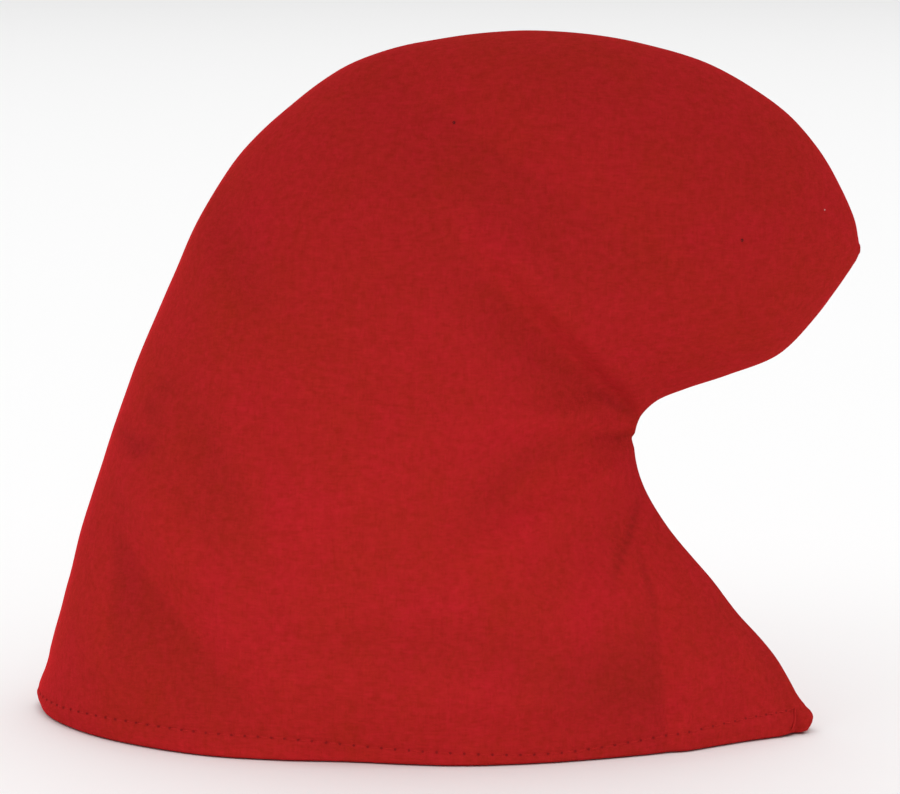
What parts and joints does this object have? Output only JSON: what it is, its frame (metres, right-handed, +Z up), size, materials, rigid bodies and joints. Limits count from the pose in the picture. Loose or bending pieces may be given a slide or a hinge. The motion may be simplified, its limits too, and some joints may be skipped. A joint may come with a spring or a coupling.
{
  "type": "elf hat",
  "caption": "Red felt elf hat with a rounded crown and a peak that curls forward, sewn from side panels, with a hemmed rim that stands open and takes a head.",
  "frame": {"origin": "on the table that the rim stands on, under the middle of the hat's box", "axes": "+X to the front, where the peak curls over; +Y to the wearer's left, square to the seam; +Z up"},
  "size_m": [0.265, 0.1304, 0.221],
  "materials": {
    "felt": "matt red pressed felt with a short nap"
  },
  "bodies": {
    "root": {"right_panel": "felt", "left_panel": "felt"}
  },
  "joints": []
}
